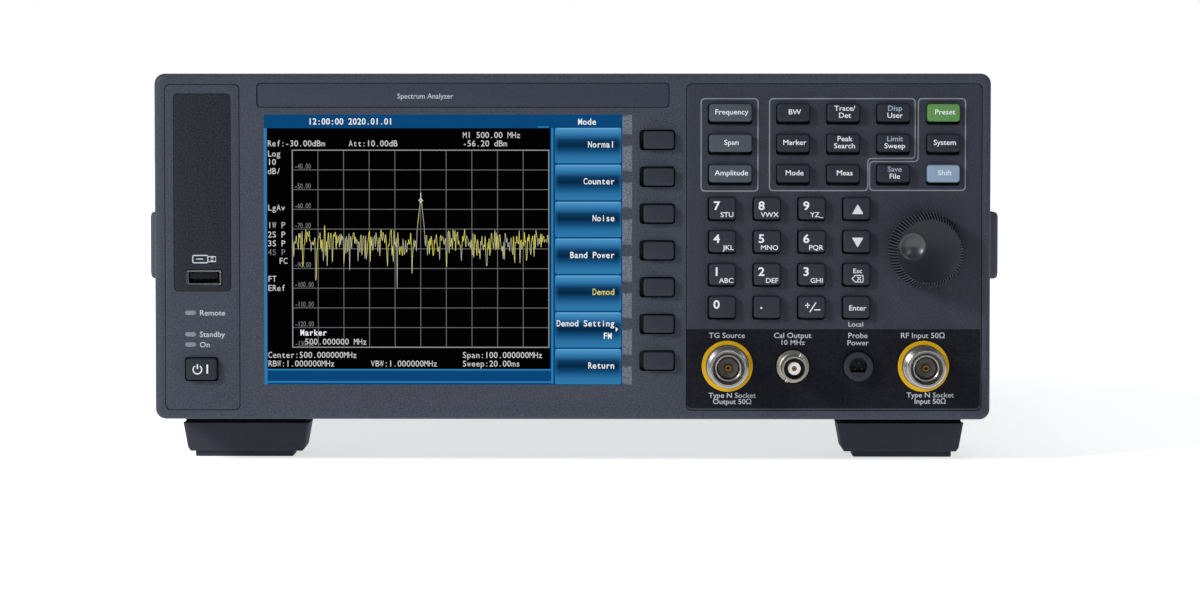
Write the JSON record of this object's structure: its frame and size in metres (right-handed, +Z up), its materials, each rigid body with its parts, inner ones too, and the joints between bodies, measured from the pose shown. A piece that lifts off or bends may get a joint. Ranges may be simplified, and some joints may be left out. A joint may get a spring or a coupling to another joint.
{
  "type": "spectrum analyzer",
  "caption": "Benchtop spectrum analyzer: a display with softkeys, function and number keys, a tuning knob, coaxial sockets, side straps and a fan-cooled rear panel.",
  "frame": {"origin": "on the surface that the instrument stands on, under the middle of its overall box", "axes": "+X to the operator's right, +Y from the front panel to the rear panel, +Z up"},
  "size_m": [0.338, 0.4154, 0.1496],
  "materials": {
    "front_moulding": "fine textured moulding",
    "key_dark": "satin",
    "key_light": "satin",
    "key_number": "satin",
    "key_soft": "satin",
    "key_green": "satin",
    "key_blue": "satin",
    "knob_rubber": "soft satin",
    "screen_glass": "lit display behind a hard clear cover",
    "board_green": "solder mask on glass-fibre board",
    "connector_metal": "plated brass",
    "socket_black": "satin",
    "port_metal": "tinned steel",
    "chassis_steel": "galvanised sheet",
    "case_paint": "fine textured powder coat",
    "rear_metal": "satin anodised",
    "module_aluminium": "milled",
    "supply_case": "folded sheet",
    "fan_plastic": "satin",
    "foot_rubber": "matt",
    "strap_rubber": "matt"
  },
  "bodies": {
    "instrument": {"front_frame": "front_moulding", "display_module": "screen_glass", "keypad_board": "board_green", "rf_input_connector": "connector_metal", "source_output_connector": "connector_metal", "cal_output_connector": "connector_metal", "probe_power_socket": "socket_black", "usb_port": "port_metal", "chassis": "chassis_steel", "case_sleeve": "case_paint", "rear_panel": "rear_metal", "rf_module": "module_aluminium", "power_supply": "supply_case", "front_foot_left": "foot_rubber", "front_foot_right": "foot_rubber", "rear_foot_left": "foot_rubber", "rear_foot_right": "foot_rubber", "handle_left": "strap_rubber", "handle_right": "strap_rubber"},
    "tuning_knob_body": {"tuning_knob": "knob_rubber"},
    "fan_rotor_body": {"fan_rotor": "fan_plastic"},
    "power_button_body": {"power_button": "key_dark"},
    "softkey_1_body": {"softkey_1": "key_soft"},
    "frequency_key_body": {"frequency_key": "key_light"},
    "preset_key_body": {"preset_key": "key_green"},
    "five_key_body": {"five_key": "key_number"},
    "enter_key_body": {"enter_key": "key_number"},
    "softkey_2_body": {"softkey_2": "key_soft"},
    "softkey_3_body": {"softkey_3": "key_soft"},
    "softkey_4_body": {"softkey_4": "key_soft"},
    "softkey_5_body": {"softkey_5": "key_soft"},
    "softkey_6_body": {"softkey_6": "key_soft"},
    "softkey_7_body": {"softkey_7": "key_soft"},
    "bandwidth_key_body": {"bandwidth_key": "key_dark"},
    "trace_key_body": {"trace_key": "key_dark"},
    "display_key_body": {"display_key": "key_dark"},
    "span_key_body": {"span_key": "key_light"},
    "marker_key_body": {"marker_key": "key_dark"},
    "peak_key_body": {"peak_key": "key_dark"},
    "sweep_key_body": {"sweep_key": "key_dark"},
    "system_key_body": {"system_key": "key_dark"},
    "amplitude_key_body": {"amplitude_key": "key_light"},
    "mode_key_body": {"mode_key": "key_dark"},
    "measure_key_body": {"measure_key": "key_dark"},
    "file_key_body": {"file_key": "key_dark"},
    "shift_key_body": {"shift_key": "key_blue"},
    "seven_key_body": {"seven_key": "key_number"},
    "eight_key_body": {"eight_key": "key_number"},
    "nine_key_body": {"nine_key": "key_number"},
    "up_key_body": {"up_key": "key_number"},
    "four_key_body": {"four_key": "key_number"},
    "six_key_body": {"six_key": "key_number"},
    "down_key_body": {"down_key": "key_number"},
    "one_key_body": {"one_key": "key_number"},
    "two_key_body": {"two_key": "key_number"},
    "three_key_body": {"three_key": "key_number"},
    "escape_key_body": {"escape_key": "key_number"},
    "zero_key_body": {"zero_key": "key_number"},
    "point_key_body": {"point_key": "key_number"},
    "sign_key_body": {"sign_key": "key_number"}
  },
  "joints": [
    {"name": "tuning_knob_turn", "type": "hinge", "parent": "instrument", "child": "tuning_knob_body", "pos_m": [0.1352, -0.20235, 0.0822], "axis": [0, 1, 0], "continuous": true},
    {"name": "fan_rotor_spin", "type": "hinge", "parent": "instrument", "child": "fan_rotor_body", "pos_m": [0.07, 0.17765, 0.0891], "axis": [0, 1, 0], "continuous": true},
    {"name": "power_button_press", "type": "slide", "parent": "instrument", "child": "power_button_body", "axis": [0, 1, 0], "range_m": [0, 0.0015], "stiffness_N_per_m": 400},
    {"name": "softkey_1_press", "type": "slide", "parent": "instrument", "child": "softkey_1_body", "axis": [0, 1, 0], "range_m": [0, 0.0015], "stiffness_N_per_m": 400},
    {"name": "frequency_key_press", "type": "slide", "parent": "instrument", "child": "frequency_key_body", "axis": [0, 1, 0], "range_m": [0, 0.0015], "stiffness_N_per_m": 400},
    {"name": "preset_key_press", "type": "slide", "parent": "instrument", "child": "preset_key_body", "axis": [0, 1, 0], "range_m": [0, 0.0015], "stiffness_N_per_m": 400},
    {"name": "five_key_press", "type": "slide", "parent": "instrument", "child": "five_key_body", "axis": [0, 1, 0], "range_m": [0, 0.0015], "stiffness_N_per_m": 400},
    {"name": "enter_key_press", "type": "slide", "parent": "instrument", "child": "enter_key_body", "axis": [0, 1, 0], "range_m": [0, 0.0015], "stiffness_N_per_m": 400},
    {"name": "softkey_2_press", "type": "slide", "parent": "instrument", "child": "softkey_2_body", "axis": [0, 1, 0], "range_m": [0, 0.0015], "stiffness_N_per_m": 400},
    {"name": "softkey_3_press", "type": "slide", "parent": "instrument", "child": "softkey_3_body", "axis": [0, 1, 0], "range_m": [0, 0.0015], "stiffness_N_per_m": 400},
    {"name": "softkey_4_press", "type": "slide", "parent": "instrument", "child": "softkey_4_body", "axis": [0, 1, 0], "range_m": [0, 0.0015], "stiffness_N_per_m": 400},
    {"name": "softkey_5_press", "type": "slide", "parent": "instrument", "child": "softkey_5_body", "axis": [0, 1, 0], "range_m": [0, 0.0015], "stiffness_N_per_m": 400},
    {"name": "softkey_6_press", "type": "slide", "parent": "instrument", "child": "softkey_6_body", "axis": [0, 1, 0], "range_m": [0, 0.0015], "stiffness_N_per_m": 400},
    {"name": "softkey_7_press", "type": "slide", "parent": "instrument", "child": "softkey_7_body", "axis": [0, 1, 0], "range_m": [0, 0.0015], "stiffness_N_per_m": 400},
    {"name": "bandwidth_key_press", "type": "slide", "parent": "instrument", "child": "bandwidth_key_body", "axis": [0, 1, 0], "range_m": [0, 0.0015], "stiffness_N_per_m": 400},
    {"name": "trace_key_press", "type": "slide", "parent": "instrument", "child": "trace_key_body", "axis": [0, 1, 0], "range_m": [0, 0.0015], "stiffness_N_per_m": 400},
    {"name": "display_key_press", "type": "slide", "parent": "instrument", "child": "display_key_body", "axis": [0, 1, 0], "range_m": [0, 0.0015], "stiffness_N_per_m": 400},
    {"name": "span_key_press", "type": "slide", "parent": "instrument", "child": "span_key_body", "axis": [0, 1, 0], "range_m": [0, 0.0015], "stiffness_N_per_m": 400},
    {"name": "marker_key_press", "type": "slide", "parent": "instrument", "child": "marker_key_body", "axis": [0, 1, 0], "range_m": [0, 0.0015], "stiffness_N_per_m": 400},
    {"name": "peak_key_press", "type": "slide", "parent": "instrument", "child": "peak_key_body", "axis": [0, 1, 0], "range_m": [0, 0.0015], "stiffness_N_per_m": 400},
    {"name": "sweep_key_press", "type": "slide", "parent": "instrument", "child": "sweep_key_body", "axis": [0, 1, 0], "range_m": [0, 0.0015], "stiffness_N_per_m": 400},
    {"name": "system_key_press", "type": "slide", "parent": "instrument", "child": "system_key_body", "axis": [0, 1, 0], "range_m": [0, 0.0015], "stiffness_N_per_m": 400},
    {"name": "amplitude_key_press", "type": "slide", "parent": "instrument", "child": "amplitude_key_body", "axis": [0, 1, 0], "range_m": [0, 0.0015], "stiffness_N_per_m": 400},
    {"name": "mode_key_press", "type": "slide", "parent": "instrument", "child": "mode_key_body", "axis": [0, 1, 0], "range_m": [0, 0.0015], "stiffness_N_per_m": 400},
    {"name": "measure_key_press", "type": "slide", "parent": "instrument", "child": "measure_key_body", "axis": [0, 1, 0], "range_m": [0, 0.0015], "stiffness_N_per_m": 400},
    {"name": "file_key_press", "type": "slide", "parent": "instrument", "child": "file_key_body", "axis": [0, 1, 0], "range_m": [0, 0.0015], "stiffness_N_per_m": 400},
    {"name": "shift_key_press", "type": "slide", "parent": "instrument", "child": "shift_key_body", "axis": [0, 1, 0], "range_m": [0, 0.0015], "stiffness_N_per_m": 400},
    {"name": "seven_key_press", "type": "slide", "parent": "instrument", "child": "seven_key_body", "axis": [0, 1, 0], "range_m": [0, 0.0015], "stiffness_N_per_m": 400},
    {"name": "eight_key_press", "type": "slide", "parent": "instrument", "child": "eight_key_body", "axis": [0, 1, 0], "range_m": [0, 0.0015], "stiffness_N_per_m": 400},
    {"name": "nine_key_press", "type": "slide", "parent": "instrument", "child": "nine_key_body", "axis": [0, 1, 0], "range_m": [0, 0.0015], "stiffness_N_per_m": 400},
    {"name": "up_key_press", "type": "slide", "parent": "instrument", "child": "up_key_body", "axis": [0, 1, 0], "range_m": [0, 0.0015], "stiffness_N_per_m": 400},
    {"name": "four_key_press", "type": "slide", "parent": "instrument", "child": "four_key_body", "axis": [0, 1, 0], "range_m": [0, 0.0015], "stiffness_N_per_m": 400},
    {"name": "six_key_press", "type": "slide", "parent": "instrument", "child": "six_key_body", "axis": [0, 1, 0], "range_m": [0, 0.0015], "stiffness_N_per_m": 400},
    {"name": "down_key_press", "type": "slide", "parent": "instrument", "child": "down_key_body", "axis": [0, 1, 0], "range_m": [0, 0.0015], "stiffness_N_per_m": 400},
    {"name": "one_key_press", "type": "slide", "parent": "instrument", "child": "one_key_body", "axis": [0, 1, 0], "range_m": [0, 0.0015], "stiffness_N_per_m": 400},
    {"name": "two_key_press", "type": "slide", "parent": "instrument", "child": "two_key_body", "axis": [0, 1, 0], "range_m": [0, 0.0015], "stiffness_N_per_m": 400},
    {"name": "three_key_press", "type": "slide", "parent": "instrument", "child": "three_key_body", "axis": [0, 1, 0], "range_m": [0, 0.0015], "stiffness_N_per_m": 400},
    {"name": "escape_key_press", "type": "slide", "parent": "instrument", "child": "escape_key_body", "axis": [0, 1, 0], "range_m": [0, 0.0015], "stiffness_N_per_m": 400},
    {"name": "zero_key_press", "type": "slide", "parent": "instrument", "child": "zero_key_body", "axis": [0, 1, 0], "range_m": [0, 0.0015], "stiffness_N_per_m": 400},
    {"name": "point_key_press", "type": "slide", "parent": "instrument", "child": "point_key_body", "axis": [0, 1, 0], "range_m": [0, 0.0015], "stiffness_N_per_m": 400},
    {"name": "sign_key_press", "type": "slide", "parent": "instrument", "child": "sign_key_body", "axis": [0, 1, 0], "range_m": [0, 0.0015], "stiffness_N_per_m": 400}
  ]
}
